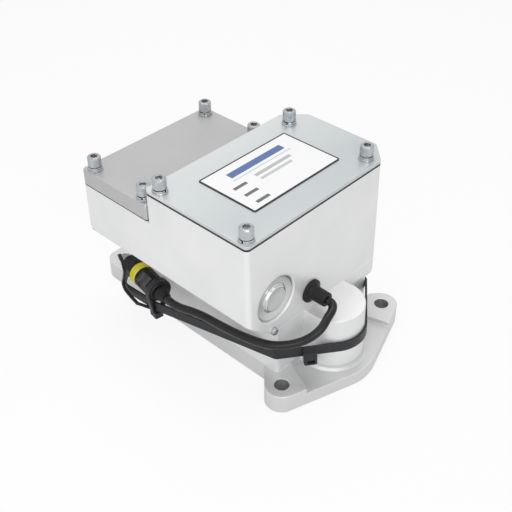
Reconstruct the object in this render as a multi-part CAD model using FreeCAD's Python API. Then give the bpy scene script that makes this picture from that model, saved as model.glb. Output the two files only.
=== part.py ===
import FreeCAD, Part
import math
import os

# Electric governor actuator that bolts over the rack end of an injection pump.
# A cast housing stands on a four-hole flange. Its tall front section holds a
# limited-angle torque motor, and its lower rear section holds the output lever.
# Origin: midway between the two front mounting holes, on the mounting face.
# +X runs to the right along the front, +Y to the rear, +Z up. Millimetres.

V = FreeCAD.Vector

# Mounting flange
front_hole_spacing = 105.0
mount_hole_r = 5.0
ear_r = 11.0
nose_r = 36.0
nose_front = -27.4
plate_h = 9.7
pad_h = 13.6
foot_half_width = 47.0
waist_y = 19.8
flange_rear = 182.5
rear_corner_r = 10.0
rear_hole_spacing = 72.0
rear_hole_inset = 11.2
rear_pad_reach = 24.0
left_step = ((-34.7, 6.5), (-43.7, -12.2))
right_step = ((35.8, -0.9), (39.8, -14.2))

# Cast housing, outside
wall = 5.0
front_wall_y = 10.6
box_left = -72.2
box_width = 135.0
front_depth = 84.1
rear_width = 110.7
rear_depth = 62.2
front_rim_z = 124.7
rear_rim_z = 104.2
left_edge_z = 68.6
underside_deg = 40.6
overhang_z = 33.9
overhang_r = 7.0
draft_deg = 1.0
corner_chamfer = 13.5
corner_r = 3.0
right_recess = 1.5
column_rear_inset = 4.5
left_edge_r = 3.0
rear_edge_r = 8.0

# Round-nosed boss on the front wall
boss_x = -1.9
boss_y = 1.1
boss_top = 51.0
boss_top_r = 20.2
boss_foot_r = 21.6
boss_wall = 5.2
foot_weld = 1.6

# Floor between the motor bay and the open base
floor_low = 34.0
floor_top = 40.0

# Shaft and its two ball bearings
shaft_x = -48.0
shaft_z = 76.7
shaft_r = 6.0
bearing_r = 16.0
bearing_w = 10.0
bearing_boss_r = 20.5
front_bearing_y = 15.4
shoulder_r = 13.0
shoulder_w = 2.4
fit_gap = 0.02
run_gap = 0.3

# Pressed plug over the front bearing, sunk a little in its bore
plug_recess = 1.2
plug_button_r = 9.2
plug_button_h = 1.1
plug_t = 2.8
bore_chamfer = 0.5

# Gaskets and covers
front_gasket_t = 1.5
front_cover_t = 2.2
rear_gasket_t = 0.8
rear_cover_t = 10.6
rear_cover_skin = 4.0
gasket_land = 5.5

# Cover screws with their washers
screw_shank_r = 2.5
screw_head_r = 4.36
screw_head_h = 7.0
screw_socket_r = 2.1
screw_socket_d = 2.6
screw_grip = 14.0
spring_washer_r = 4.6
spring_washer_t = 1.8
flat_washer_r = 5.0
flat_washer_t = 1.2
screw_hole_gap = 0.06
lug_r = 6.2
screw_inset = 4.6
screw_inset_chamfer_x = 18.2
screw_inset_chamfer_y = 8.1
rear_screw_inset_x = 5.6
rear_screw_inset_right = 7.0
rear_screw_inset_y = 7.6

# Nameplate on the front cover
nameplate_w = 77.8
nameplate_d = 46.8
nameplate_t = 0.5
nameplate_left = 27.1
nameplate_front = 19.2

# Cable inlet on the front wall
inlet_x = -15.9
inlet_z = 63.4
grommet_disc_r = 8.0
grommet_disc_t = 2.2
grommet_sleeve_r = 4.9
grommet_tip_r = 4.7
grommet_reach = 13.6
grommet_neck_r = 4.6
cable_r = 2.75
cable_exit = 2.9
cable_lead = 9.4
cable_bends = (
    (-17.3, -9.6, 63.1), (-20.6, -11.6, 62.3), (-26.1, -12.4, 60.4), (-32.1, -13.5, 56.9),
    (-40.2, -11.3, 52.8), (-47.7, -4.6, 48.6), (-54.2, 5.5, 45.1), (-57.7, 16.9, 43.7),
    (-60.1, 31.1, 42.8), (-61.1, 46.9, 41.7), (-61.6, 65.1, 40.3),
)

# Connector at the end of the cable, tied to the housing's left side
ring_y = 125.5
ring_z = 36.2
connector_yaw_deg = 10.0
ring_r = 8.1
ring_half_w = 3.2
spigot_r = 6.0
body_r = 7.6
body_len = 21.0
flat_depth = 0.7
flat_from_boot = 3.0
flat_from_ring = 5.0
boot_r = 5.4
boot_tip_r = 3.4
boot_len = 8.0
socket_r = 6.9
socket_len = 12.8
socket_rib_r = 7.3
terminal_r = 1.2
latch_w = 7.0
latch_h = 3.2
latch_len = 8.6
latch_back = 5.6

# Long tie round the foot of the housing, and the small tie on the connector
tie_w = 7.0
tie_t = 1.3
tie_z = 29.8
tie_drop_deg = 2.9
tie_bulge = 17.0
tie_bulges = ((131.0, 14.0), (105.0, 12.0))
tie_head = (8.6, 6.0, 9.6)
tie_head_share = 0.50
small_tie_w = 4.0
small_tie_t = 1.3
small_tie_back = 21.5
small_tie_left = -4.4
small_tie_right = 0.4
small_head = (6.4, 8.0, 4.4)
small_head_side = -2.6
tail_t = 1.1
tail_w = 2.2
tail_bend = 4.0
tail_x = -12.2
tail_points = (
    (-12.0, -13.4), (-2.4, -13.2), (5.4, -12.0), (7.4, -7.6), (4.2, 0.0), (2.3, 6.6), (4.2, 13.6), (8.2, 17.6),
)
tail_root = (-4.0, -18.0, -16.9)

# Ground screw low on the front wall
ground_x = -50.6
ground_z = 53.2
ground_head_r = 2.6

# Torque motor: armature sector, pole core, bobbin and winding
armature_share = 0.2836
armature_half_deg = 28.0
armature_hub_r = 12.0
armature_front = 34.0
armature_len = 36.0
air_gap = 0.6
core_front = 32.0
core_len = 40.0
core_arm_t = 16.0
limb_share = 0.189
pole_tip_left = 14.0
pole_tip_run = 5.0
pole_open_deg = 8.0
pole_close_deg = 62.0
bobbin_wall = 1.6
bobbin_lip = 0.6
winding_t = 8.6
winding_corner_r = 6.0
coil_clearance = 8.7
core_screw_inset = 9.0
core_screw_head_r = 4.0
core_screw_head_h = 4.5
core_screw_gap = 2.9

# Output lever, link and return spring
lever_len = 47.0
lever_hub_r = 12.5
lever_end_r = 7.0
lever_front = 114.0
lever_t = 14.0
swing_deg = 25.0
slot_root = 10.5
link_t = 6.0
link_half_w = 5.5
link_len = 58.0
link_eye_r = 7.0
link_pin_r = 3.0
pin_gap = 0.05
side_gap = 0.1
set_screw_r = 2.5
stop_reach = 28.0
stop_pin_r = 3.0
stop_boss = 7.0
spring_front = 98.0
spring_w = 7.0
spring_strip = 0.8
spring_step = 1.0
spring_coils = 7
spring_start_r = 6.9
spring_post_r = 2.0

# Places that follow from the sizes above
box_right = box_left + box_width
front_back_y = front_wall_y + front_depth
rear_right = box_left + rear_width
rear_back_y = front_back_y + rear_depth
column_rear = rear_back_y - column_rear_inset
lean = math.tan(math.radians(draft_deg))
slope = math.tan(math.radians(underside_deg))
slope_cos = math.cos(math.radians(underside_deg))
front_cover_z = front_rim_z + front_gasket_t
rear_cover_z = rear_rim_z + rear_gasket_t
partition_front = front_back_y - wall
bay_front = front_wall_y + wall
half_swing = swing_deg / 2
core_half_h = shaft_z - floor_top

# The motor fills the room between the shaft and the right wall
motor_room = box_right - wall - shaft_x
armature_r = motor_room * armature_share
coil_reach = run_gap + bobbin_wall + winding_t + bobbin_lip
limb_far = motor_room - coil_clearance - coil_reach
limb_near = limb_far - motor_room * limb_share
core_screw_x = limb_near - coil_reach - core_screw_gap - core_screw_head_r
shoe_heel = core_screw_x - core_screw_head_r


def flat(z):
    return lambda u, v: V(u, v, z)


def upright(y):
    return lambda u, v: V(u, y, v)


def sideways(x):
    return lambda u, v: V(x, u, v)


def segment(a, b):
    return Part.LineSegment(a, b).toShape()


def arc_edge(place, centre, radius, start, end):
    """Arc from one angle to another, in degrees, on a placed plane."""
    points = []
    for angle in (start, (start + end) / 2, end):
        turn = math.radians(angle)
        points.append(place(centre[0] + radius * math.cos(turn), centre[1] + radius * math.sin(turn)))
    return Part.Arc(*points).toShape()


def rounded_wire(corners, place):
    """Closed outline through (u, v, radius) corners, each rounded by a tangent arc."""
    ends = []
    count = len(corners)
    for i, (u, v, r) in enumerate(corners):
        here = V(u, v, 0)
        before = (V(*corners[i - 1][:2], 0) - here).normalize()
        after = (V(*corners[(i + 1) % count][:2], 0) - here).normalize()
        half = before.getAngle(after) / 2
        trim = r / math.tan(half) if r else 0.0
        middle = here
        if r:
            bisector = (before + after).normalize()
            middle = here + bisector * (r / math.sin(half) - r)
        ends.append((here + before * trim, middle, here + after * trim))
    edges = []
    for i in range(count):
        first, middle, last = (place(p.x, p.y) for p in ends[i])
        if corners[i][2]:
            edges.append(Part.Arc(first, middle, last).toShape())
        following = place(ends[(i + 1) % count][0].x, ends[(i + 1) % count][0].y)
        if (following - last).Length > 1e-6:
            edges.append(segment(last, following))
    return Part.Wire(edges)


def belt_run(first, second, offset):
    """Straight run between two (u, v, radius) circles: outward angle, start and end."""
    u0, v0, r0 = first
    u1, v1, r1 = second
    heading = math.atan2(v1 - v0, u1 - u0)
    outward = heading - math.pi / 2 + math.asin((r0 - r1) / math.hypot(u1 - u0, v1 - v0))
    side = V(math.cos(outward), math.sin(outward), 0)
    return outward, V(u0, v0, 0) + side * (r0 + offset), V(u1, v1, 0) + side * (r1 + offset)


def belt_wire(circles, offset, place):
    """Closed line wrapped tightly round (u, v, radius) circles given counter-clockwise."""
    count = len(circles)
    runs = [belt_run(circles[i], circles[(i + 1) % count], offset) for i in range(count)]
    edges = []
    for i in range(count):
        start, leave, meet = runs[i]
        edges.append(segment(place(leave.x, leave.y), place(meet.x, meet.y)))
        u, v, r = circles[(i + 1) % count]
        end = runs[(i + 1) % count][0]
        while end < start:
            end += 2 * math.pi
        if r + offset > 0:
            edges.append(arc_edge(place, (u, v), r + offset, math.degrees(start), math.degrees(end)))
    return Part.Wire(edges)


def band_outline(points, thickness, bend):
    """Corners of a strip that follows (u, v) points, for a rounded outline."""
    rows = []
    last = len(points) - 1
    for side in (1, -1):
        row = []
        for i, (u, v) in enumerate(points):
            here = V(u, v, 0)
            ahead = V(*points[min(i, last - 1) + 1], 0) - V(*points[min(i, last - 1)], 0)
            behind = V(*points[max(i, 1)], 0) - V(*points[max(i, 1) - 1], 0)
            across = V(-ahead.y, ahead.x, 0).normalize()
            mitre = (across + V(-behind.y, behind.x, 0).normalize()).normalize()
            corner = here + mitre * (side * thickness / 2 / mitre.dot(across))
            inside = 1 if behind.cross(ahead).z > 0 else -1
            radius = bend - side * inside * thickness / 2 if 0 < i < last else 0.0
            row.append((corner.x, corner.y, radius))
        rows.append(row)
    return rows[0] + rows[1][::-1]


def slab(wire, along):
    return Part.Face(wire).extrude(along)


def prism(corners, z0, z1):
    return slab(rounded_wire(corners, flat(z0)), V(0, 0, z1 - z0))


def plate_xz(corners, y0, y1):
    return slab(rounded_wire(corners, upright(y0)), V(0, y1 - y0, 0))


def taper(low, z0, high, z1):
    """Solid between two outlines of the same build at two heights."""
    return Part.makeLoft([rounded_wire(low, flat(z0)), rounded_wire(high, flat(z1))], True, True)


def rod_y(radius, x, z, y0, y1):
    return Part.makeCylinder(radius, y1 - y0, V(x, y0, z), V(0, 1, 0))


def rod_z(radius, x, y, z0, z1):
    return Part.makeCylinder(radius, z1 - z0, V(x, y, z0))


def turned_y(profile, x, z, y0):
    """Solid of revolution about a line along Y, from (radius, distance back) points."""
    points = [V(x + r, y0 + d, z) for r, d in profile]
    face = Part.Face(Part.makePolygon(points + [points[0]]))
    return face.revolve(V(x, y0, z), V(0, 1, 0), 360)


def turned_z(profile, x, y, z0):
    points = [V(x + r, y, z0 + d) for r, d in profile]
    face = Part.Face(Part.makePolygon(points + [points[0]]))
    return face.revolve(V(x, y, z0), V(0, 0, 1), 360)


def merge(shapes):
    return shapes[0].fuse(list(shapes[1:])).removeSplitter()


def turn_about_shaft(shape, degrees):
    """Turn a shape about the shaft; positive carries the lever's end upwards."""
    turned = shape.copy()
    turned.rotate(V(shaft_x, 0, shaft_z), V(0, 1, 0), -degrees)
    return turned


def export(name, shape):
    shape.exportStep("parts/" + name + ".step")


# Outlines of the two housing sections, leaning outwards towards the foot

def front_outline(z, inset=0.0):
    out = (front_rim_z - z) * lean
    left, right = box_left + inset, box_right + out - inset
    front, back = front_wall_y - out + inset, front_back_y - inset
    cut = corner_chamfer
    return [
        (left, front, corner_r), (right - cut, front, corner_r), (right, front + cut, corner_r),
        (right, back - cut, corner_r), (right - cut, back, corner_r), (left, back, corner_r),
    ]


def rear_outline(z, inset=0.0):
    out = (rear_rim_z - z) * lean
    left, right = box_left + inset, rear_right + out - inset
    front, back = front_back_y - wall + inset, rear_back_y + out - inset
    return [
        (left, front, 0), (right, front, 0),
        (right, back, corner_r), (left, back, corner_r),
    ]


def column_outline(z):
    """Foot of the housing: flush with the front wall left of the boss, set back right of it."""
    out = (front_rim_z - z) * lean
    front = front_wall_y - out
    rear_right_x = rear_right + (rear_rim_z - overhang_z) * lean
    return [
        (-foot_half_width, front, corner_r), (boss_x, front, 0), (boss_x, front + right_recess, 0),
        (foot_half_width, front + right_recess, corner_r), (foot_half_width, front_back_y, corner_r),
        (rear_right_x, front_back_y, 0), (rear_right_x, column_rear, corner_r),
        (-foot_half_width, column_rear, corner_r),
    ]


def boss_wire(radius, z):
    """Half circle with straight sides running back into the front wall."""
    back = front_wall_y + wall / 2
    place = flat(z)
    right, left = boss_x + radius, boss_x - radius
    return Part.Wire([
        arc_edge(place, (boss_x, boss_y), radius, 180, 360),
        segment(place(right, boss_y), place(right, back)),
        segment(place(right, back), place(left, back)),
        segment(place(left, back), place(left, boss_y)),
    ])


def boss_solid(r0, z0, r1, z1):
    return Part.makeLoft([boss_wire(r0, z0), boss_wire(r1, z1)], True, True)


# Screw places on the two covers
front_screws = [
    (box_left + screw_inset, front_wall_y + screw_inset),
    (box_right - screw_inset_chamfer_x, front_wall_y + screw_inset_chamfer_y),
    (box_right - screw_inset_chamfer_x, front_back_y - 1.5 * screw_inset_chamfer_y),
    (box_left + screw_inset, front_back_y - 2 * screw_inset),
]
rear_screws = [
    (box_left + rear_screw_inset_x, front_back_y + rear_screw_inset_y),
    (rear_right - rear_screw_inset_right, front_back_y + rear_screw_inset_y),
    (rear_right - rear_screw_inset_right, rear_back_y - rear_screw_inset_y),
    (box_left + rear_screw_inset_x, rear_back_y - rear_screw_inset_y),
]
mount_holes = [
    (-front_hole_spacing / 2, 0.0), (front_hole_spacing / 2, 0.0),
    (-rear_hole_spacing / 2, flange_rear - rear_hole_inset),
    (rear_hole_spacing / 2, flange_rear - rear_hole_inset),
]


# Places shared by the housing and the pieces that it holds
rear_bearing_y = rear_back_y - wall - bearing_w - run_gap - shoulder_w
ground_shank_r = 1.5
post_z = shaft_z + spring_start_r + spring_coils * spring_step + spring_post_r + run_gap
core_x = shaft_x + core_screw_x
core_screws = [
    (core_x, core_front + core_screw_inset), (core_x, core_front + core_len - core_screw_inset),
]


def stop_place(side):
    """Centre of the pin that the lever's flank meets at one end of its swing."""
    reach = lever_flank_r + stop_pin_r + run_gap
    turn = math.radians(side * half_swing)
    return (shaft_x + stop_reach * math.cos(turn) - side * reach * math.sin(turn),
            shaft_z + stop_reach * math.sin(turn) + side * reach * math.cos(turn))


lever_flank_r = lever_hub_r + (lever_end_r - lever_hub_r) * stop_reach / lever_len
stop_places = [stop_place(1), stop_place(-1)]
inlet_face = front_wall_y - (front_rim_z - inlet_z + grommet_disc_r) * lean
ground_face = front_wall_y - (front_rim_z - ground_z + ground_head_r) * lean
plug_face = front_wall_y - (front_rim_z - shaft_z) * lean


def flange_plate(height):
    """Ears and shallow nose in front, straight sides and round corners behind."""
    half = front_hole_spacing / 2
    pulleys = [
        (0.0, nose_front + nose_r, nose_r), (half, 0.0, ear_r), (foot_half_width, waist_y, 0.0),
        (-foot_half_width, waist_y, 0.0), (-half, 0.0, ear_r),
    ]
    front = slab(belt_wire(pulleys, 0.0, flat(0)), V(0, 0, height))
    rear = prism([
        (-foot_half_width, waist_y - 1, 0), (foot_half_width, waist_y - 1, 0),
        (foot_half_width, flange_rear, rear_corner_r), (-foot_half_width, flange_rear, rear_corner_r),
    ], 0, height)
    return merge([front, rear])


def pad_zone(step, outward):
    """Prism over one front ear, bounded by its step line."""
    (u0, v0), (u1, v1) = step
    du, dv = (u1 - u0), (v1 - v0)
    far = outward * front_hole_spacing
    return prism([
        (u0 - du, v0 - dv, 0), (u1 + 2 * du, v1 + 2 * dv, 0),
        (far, v1 + 2 * dv, 0), (far, v0 - dv, 0),
    ][::int(-outward)], 0, pad_h)


def make_flange():
    plate = flange_plate(plate_h)
    thick = flange_plate(pad_h)
    pads = [thick.common(pad_zone(left_step, -1)), thick.common(pad_zone(right_step, 1))]
    for side in (-1, 1):
        inner = side * (foot_half_width - rear_pad_reach)
        outer = side * front_hole_spacing
        zone = Part.makeBox(abs(outer - inner), flange_rear, pad_h,
                            V(min(inner, outer), rear_back_y, 0))
        pads.append(thick.common(zone))
    return merge([plate] + pads)


def underside_tool():
    """Space below the sloping underside of the left overhang."""
    outside = box_left - 4 * wall
    lean_in = foot_half_width + box_left
    foot_z = left_edge_z + lean_in * slope
    return plate_xz([
        (outside, left_edge_z, 0), (box_left, left_edge_z, left_edge_r),
        (-foot_half_width, foot_z, 0), (-foot_half_width, -wall, 0), (outside, -wall, 0),
    ], -nose_r, flange_rear)


def overhang_solid():
    """Front section above the foot, its lower edge rounded in a few steps."""
    wires = []
    for share in (0, 22.5, 45, 67.5, 90):
        turn = math.radians(share)
        inset = overhang_r * (1 - math.sin(turn))
        z = overhang_z + overhang_r * (1 - math.cos(turn))
        wires.append(rounded_wire(front_outline(z, inset), flat(z)))
    wires.append(rounded_wire(front_outline(front_rim_z), flat(front_rim_z)))
    return Part.makeLoft(wires, True, True)


def rear_solid():
    """Lower rear section, its back wall rounded off where it overhangs the foot."""
    block = taper(rear_outline(floor_top), floor_top, rear_outline(rear_rim_z), rear_rim_z)
    back = rear_outline(left_edge_z)[2][1]
    side = rounded_wire([
        (front_wall_y, floor_top - 1, 0), (column_rear, floor_top - 1, 0), (column_rear, left_edge_z, 2.0),
        (back, left_edge_z, rear_edge_r), (rear_back_y, rear_rim_z + 1, 0), (front_wall_y, rear_rim_z + 1, 0),
    ], sideways(box_left - wall))
    return block.common(slab(side, V(2 * box_width, 0, 0)))


def inner_bay(right, z_low, y0, y1, z_high):
    """Bay inside the casting: one wall in from the left side and its sloping underside."""
    left = box_left + wall
    rise = left_edge_z + wall / slope_cos
    inner_left = -foot_half_width + wall
    return plate_xz([
        (left, z_high, 0), (left, rise - wall * slope, 0),
        (inner_left, rise - (inner_left - box_left) * slope, 0), (inner_left, z_low, 0),
        (right, z_low, 0), (right, z_high, 0),
    ], y0, y1)


def make_housing():
    column_top = boss_top + 2 * wall
    body = [
        overhang_solid(),
        rear_solid(),
        taper(column_outline(plate_h / 2), plate_h / 2, column_outline(column_top), column_top),
        boss_solid(boss_foot_r, plate_h / 2, boss_top_r, boss_top),
        boss_solid(boss_foot_r + foot_weld, plate_h - 0.5, boss_foot_r - 0.1, plate_h + foot_weld),
        make_flange(),
    ]
    keep = merge(body[:2]).cut(underside_tool())
    casting = merge([keep] + body[2:])
    bays = [
        inner_bay(box_right - wall, floor_top, bay_front, partition_front, front_rim_z + wall).common(
            prism(front_outline(front_rim_z, wall), floor_top - 1, front_rim_z + wall)),
        inner_bay(rear_right - wall, -wall, front_back_y, column_rear - wall, rear_rim_z + wall),
        Part.makeBox(rear_width - 2 * wall, column_rear_inset + 1, rear_rim_z - left_edge_z,
                     V(box_left + wall, column_rear - wall - 1, left_edge_z + wall)),
        prism([
            (-foot_half_width + wall, bay_front, 0), (foot_half_width - wall, bay_front, 0),
            (foot_half_width - wall, partition_front, 0), (-foot_half_width + wall, partition_front, 0),
        ], -wall, floor_low),
        prism([
            (-foot_half_width + wall, partition_front - 1, 0), (rear_right - wall, partition_front - 1, 0),
            (rear_right - wall, front_back_y + 1, 0), (-foot_half_width + wall, front_back_y + 1, 0),
        ], -wall, floor_low),
        boss_solid(boss_foot_r - boss_wall, -wall, boss_top_r - boss_wall, boss_top - boss_wall),
        Part.makeBox(2 * (boss_top_r - boss_wall), 2 * wall, floor_low + wall,
                     V(boss_x - boss_top_r + boss_wall, front_wall_y, -wall)),
    ]
    for bay in bays:
        casting = casting.cut(bay)
    inside = []
    for x, y in front_screws:
        inside.append(rod_z(lug_r, x, y, front_rim_z - screw_grip - wall, front_rim_z))
    for x, y in rear_screws:
        inside.append(rod_z(lug_r, x, y, rear_rim_z - screw_grip - wall, rear_rim_z))
    inside.append(rod_y(bearing_boss_r, shaft_x, shaft_z, bay_front - 1,
                        front_bearing_y + bearing_w + shoulder_w))
    inside.append(rod_y(bearing_boss_r, shaft_x, shaft_z, rear_bearing_y, rear_back_y - wall + 1))
    for x, z in stop_places:
        inside.append(rod_y(2 * stop_pin_r, x, z, column_rear - wall - stop_boss, rear_back_y - wall + 1))
    hull = keep.fuse(body[2])
    casting = merge([casting] + [piece.common(hull) for piece in inside])
    holes = []
    for x, y in mount_holes:
        holes.append(rod_z(mount_hole_r, x, y, -1, pad_h + 1))
    for x, y in front_screws:
        holes.append(rod_z(screw_shank_r + screw_hole_gap, x, y, front_rim_z - screw_grip, front_rim_z + 1))
    for x, y in rear_screws:
        holes.append(rod_z(screw_shank_r + screw_hole_gap, x, y, rear_rim_z - screw_grip, rear_rim_z + 1))
    bore = bearing_r + fit_gap
    holes.append(rod_y(bore, shaft_x, shaft_z, nose_front, front_bearing_y + bearing_w))
    mouth = 2 * bore_chamfer
    holes.append(turned_y([
        (0, -mouth), (bore + mouth, -mouth), (bore, bore_chamfer), (0, bore_chamfer),
    ], shaft_x, shaft_z, plug_face))
    holes.append(rod_y(shoulder_r, shaft_x, shaft_z, front_bearing_y, front_bearing_y + 2 * bearing_w))
    holes.append(rod_y(bore, shaft_x, shaft_z, rear_bearing_y - 1, rear_bearing_y + bearing_w + run_gap))
    holes.append(rod_y(shaft_r + 1, shaft_x, shaft_z, partition_front - 1, front_back_y + 1))
    holes.append(rod_y(grommet_neck_r + fit_gap, inlet_x, inlet_z, front_wall_y - wall, bay_front + 1))
    holes.append(rod_y(ground_shank_r + fit_gap, ground_x, ground_z, front_wall_y - wall,
                       front_wall_y + wall - 1))
    for x, y in core_screws:
        holes.append(rod_z(screw_shank_r + screw_hole_gap, x, y, floor_top - wall, floor_top + 1))
    holes.append(rod_y(spring_post_r + fit_gap, shaft_x, post_z, front_back_y - wall + 1, front_back_y + 1))
    for x, z in stop_places:
        holes.append(rod_y(stop_pin_r + fit_gap, x, z, lever_front, column_rear - 1))
    for hole in holes:
        casting = casting.cut(hole)
    return casting.removeSplitter()


def cover_sheet(outline, z0, z1, screws, hole_r):
    sheet = prism(outline, z0, z1)
    for x, y in screws:
        sheet = sheet.cut(rod_z(hole_r, x, y, z0 - 1, z1 + 1))
    return sheet


def make_front_gasket():
    whole = cover_sheet(front_outline(front_rim_z), front_rim_z, front_cover_z, front_screws,
                        screw_shank_r + screw_hole_gap)
    inner = [(u, v, r) for u, v, r in front_outline(front_rim_z, gasket_land)]
    window = prism(inner, front_rim_z - 1, front_cover_z + 1)
    for x, y in front_screws:
        window = window.cut(rod_z(lug_r, x, y, front_rim_z - 2, front_cover_z + 2))
    return whole.cut(window)


def rear_cover_outline(inset=0.0):
    return [
        (box_left + inset, front_back_y + run_gap + inset, 1.0),
        (rear_right - inset, front_back_y + run_gap + inset, 1.0),
        (rear_right - inset, rear_back_y - inset, corner_r),
        (box_left + inset, rear_back_y - inset, corner_r),
    ]


def make_rear_gasket():
    whole = cover_sheet(rear_cover_outline(), rear_rim_z, rear_cover_z, rear_screws,
                        screw_shank_r + screw_hole_gap)
    window = prism(rear_cover_outline(gasket_land), rear_rim_z - 1, rear_cover_z + 1)
    for x, y in rear_screws:
        window = window.cut(rod_z(lug_r, x, y, rear_rim_z - 2, rear_cover_z + 2))
    return whole.cut(window)


def make_rear_cover():
    top = rear_cover_z + rear_cover_t
    block = prism(rear_cover_outline(), rear_cover_z, top)
    rim = [edge for edge in block.Edges if edge.BoundBox.ZMin > top - 0.01]
    block = block.makeFillet(1.0, rim)
    hollow = prism(rear_cover_outline(gasket_land), rear_cover_z - 1, top - rear_cover_skin)
    for x, y in rear_screws:
        hollow = hollow.cut(rod_z(lug_r, x, y, rear_cover_z - 2, top))
    cover = block.cut(hollow)
    for x, y in rear_screws:
        cover = cover.cut(rod_z(screw_shank_r + screw_hole_gap, x, y, rear_cover_z - 1, top + 1))
    return cover


def make_front_cover():
    top = front_cover_z + front_cover_t
    return cover_sheet(front_outline(front_rim_z), front_cover_z, top, front_screws,
                       screw_shank_r + screw_hole_gap)


def hex_socket(x, y, top):
    """Six-sided socket in a screw head."""
    corners = []
    for i in range(6):
        turn = math.radians(60 * i)
        corners.append((x + screw_socket_r * math.cos(turn), y + screw_socket_r * math.sin(turn), 0))
    return prism(corners, top - screw_socket_d, top + 1)


def cover_fasteners(places, seat, grip):
    """Screws, split spring washers and flat washers for one cover, each kind together."""
    screws, springs, flats = [], [], []
    for x, y in places:
        hole = rod_z(screw_shank_r + screw_hole_gap, x, y, seat - 1, seat + 2 * screw_head_h)
        flats.append(rod_z(flat_washer_r, x, y, seat, seat + flat_washer_t).cut(hole))
        low = seat + flat_washer_t
        ring = rod_z(spring_washer_r, x, y, low, low + spring_washer_t).cut(hole)
        slit = Part.makeBox(spring_washer_r, 0.7, spring_washer_t, V(x, y - 0.35, low))
        slit.rotate(V(x, y, low), V(0, 0, 1), 200)
        springs.append(ring.cut(slit))
        head_z = low + spring_washer_t
        head = turned_z([
            (0, 0), (screw_head_r, 0), (screw_head_r, screw_head_h - 0.7),
            (screw_head_r - 0.7, screw_head_h), (0, screw_head_h),
        ], x, y, head_z)
        head = head.cut(hex_socket(x, y, head_z + screw_head_h))
        shank = rod_z(screw_shank_r, x, y, seat - grip, head_z)
        screws.append(merge([head, shank]))
    return Part.Compound(screws), Part.Compound(springs), Part.Compound(flats)


def make_core_plug():
    """Pressed steel plug: flat rim and a raised round button, all inside the bore."""
    button = plug_button_r
    rise = plug_button_h
    profile = [
        (0, 0), (button - 1.2, 0), (button - 0.4, 0.3), (button, rise + 0.3), (button + 0.8, rise + 0.5),
        (bearing_r - 1.2, rise), (bearing_r - 0.4, rise), (bearing_r, rise + 0.4), (bearing_r, plug_t + rise),
        (0, plug_t + rise),
    ]
    return turned_y(profile, shaft_x, shaft_z, plug_face + plug_recess - rise)


def make_bearing(y0):
    """Sealed ball bearing: two rings with a recessed shield between them."""
    inner = shaft_r + fit_gap
    ring = 2.6
    profile = [
        (inner, 0), (inner + ring, 0), (inner + ring, 0.6), (bearing_r - ring, 0.6), (bearing_r - ring, 0),
        (bearing_r, 0), (bearing_r, bearing_w), (bearing_r - ring, bearing_w),
        (bearing_r - ring, bearing_w - 0.6), (inner + ring, bearing_w - 0.6), (inner + ring, bearing_w),
        (inner, bearing_w),
    ]
    return turned_y(profile, shaft_x, shaft_z, y0)


def make_grommet():
    """Rubber inlet: disc against the wall, tapered sleeve outside, neck through the wall."""
    tip = inlet_face - grommet_reach
    out = grommet_reach
    profile = [
        (0, 0), (grommet_tip_r - 0.6, 0), (grommet_tip_r, 0.6),
        (grommet_sleeve_r, out - grommet_disc_t - 1.5), (grommet_disc_r - 1.6, out - grommet_disc_t),
        (grommet_disc_r, out - grommet_disc_t + 1.0), (grommet_disc_r, out),
        (grommet_neck_r, out), (grommet_neck_r, out + wall + 1.2), (0, out + wall + 1.2),
    ]
    return turned_y(profile, inlet_x, inlet_z, tip)


def tube(points, radius, name):
    """Round cord along straight runs joined by tangent arcs; prints each arc's radius."""
    route = [V(*p) for p in points]
    edges = []
    start = route[0]
    radii = []
    for i in range(1, len(route) - 1):
        back = route[i - 1] - route[i]
        ahead = route[i + 1] - route[i]
        half = back.getAngle(ahead) / 2
        bend = 0.45 * min(back.Length, ahead.Length) * math.tan(half)
        radii.append(round(bend, 1))
        trim = bend / math.tan(half)
        u, w = V(back).normalize(), V(ahead).normalize()
        first, last = route[i] + u * trim, route[i] + w * trim
        middle = route[i] + (u + w).normalize() * (bend / math.sin(half) - bend)
        edges.append(segment(start, first))
        edges.append(Part.Arc(first, middle, last).toShape())
        start = last
    edges.append(segment(start, route[-1]))
    path = Part.Wire(edges)
    lead = (route[1] - route[0]).normalize()
    circle = Part.Wire(Part.Circle(route[0], lead, radius).toShape())
    solid = path.makePipeShell([circle], True, False)
    section = math.pi * radius ** 2 * path.Length
    print(name, "length", round(path.Length, 1), "radii", radii,
          "volume share", round(solid.Volume / section, 4))
    return solid


def from_connector(shape):
    """Move a shape drawn round the seal ring's centre, along +Y, to where the connector lies."""
    placed = shape.copy()
    placed.rotate(V(0, 0, 0), V(0, 0, 1), -connector_yaw_deg)
    placed.translate(ring_centre)
    return placed


yaw = math.radians(connector_yaw_deg)
ring_centre = V(
    -foot_half_width - run_gap - (ring_half_w + socket_len) * math.sin(yaw) - socket_rib_r * math.cos(yaw),
    ring_y, ring_z)


def make_connector_body():
    profile = [
        (0, -ring_half_w - body_len), (body_r - 1.0, -ring_half_w - body_len),
        (body_r, -ring_half_w - body_len + 1.2), (body_r, -ring_half_w - 0.05),
        (spigot_r, -ring_half_w - 0.05), (spigot_r, ring_half_w + 0.05), (0, ring_half_w + 0.05),
    ]
    body = turned_y(profile, 0, 0, 0)
    for side in (-1, 1):
        flat_side = Part.makeBox(body_r, body_len - flat_from_boot - flat_from_ring, 2 * body_r,
                                 V(side * (body_r - flat_depth) - (body_r if side < 0 else 0),
                                   -ring_half_w - body_len + flat_from_boot, -body_r))
        body = body.cut(flat_side)
    return from_connector(body)


def make_seal_ring():
    profile = [
        (spigot_r + fit_gap, -ring_half_w), (ring_r - 0.8, -ring_half_w), (ring_r, -ring_half_w + 0.9),
        (ring_r, ring_half_w - 0.9), (ring_r - 0.8, ring_half_w), (spigot_r + fit_gap, ring_half_w),
    ]
    return from_connector(turned_y(profile, 0, 0, 0))


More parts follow.
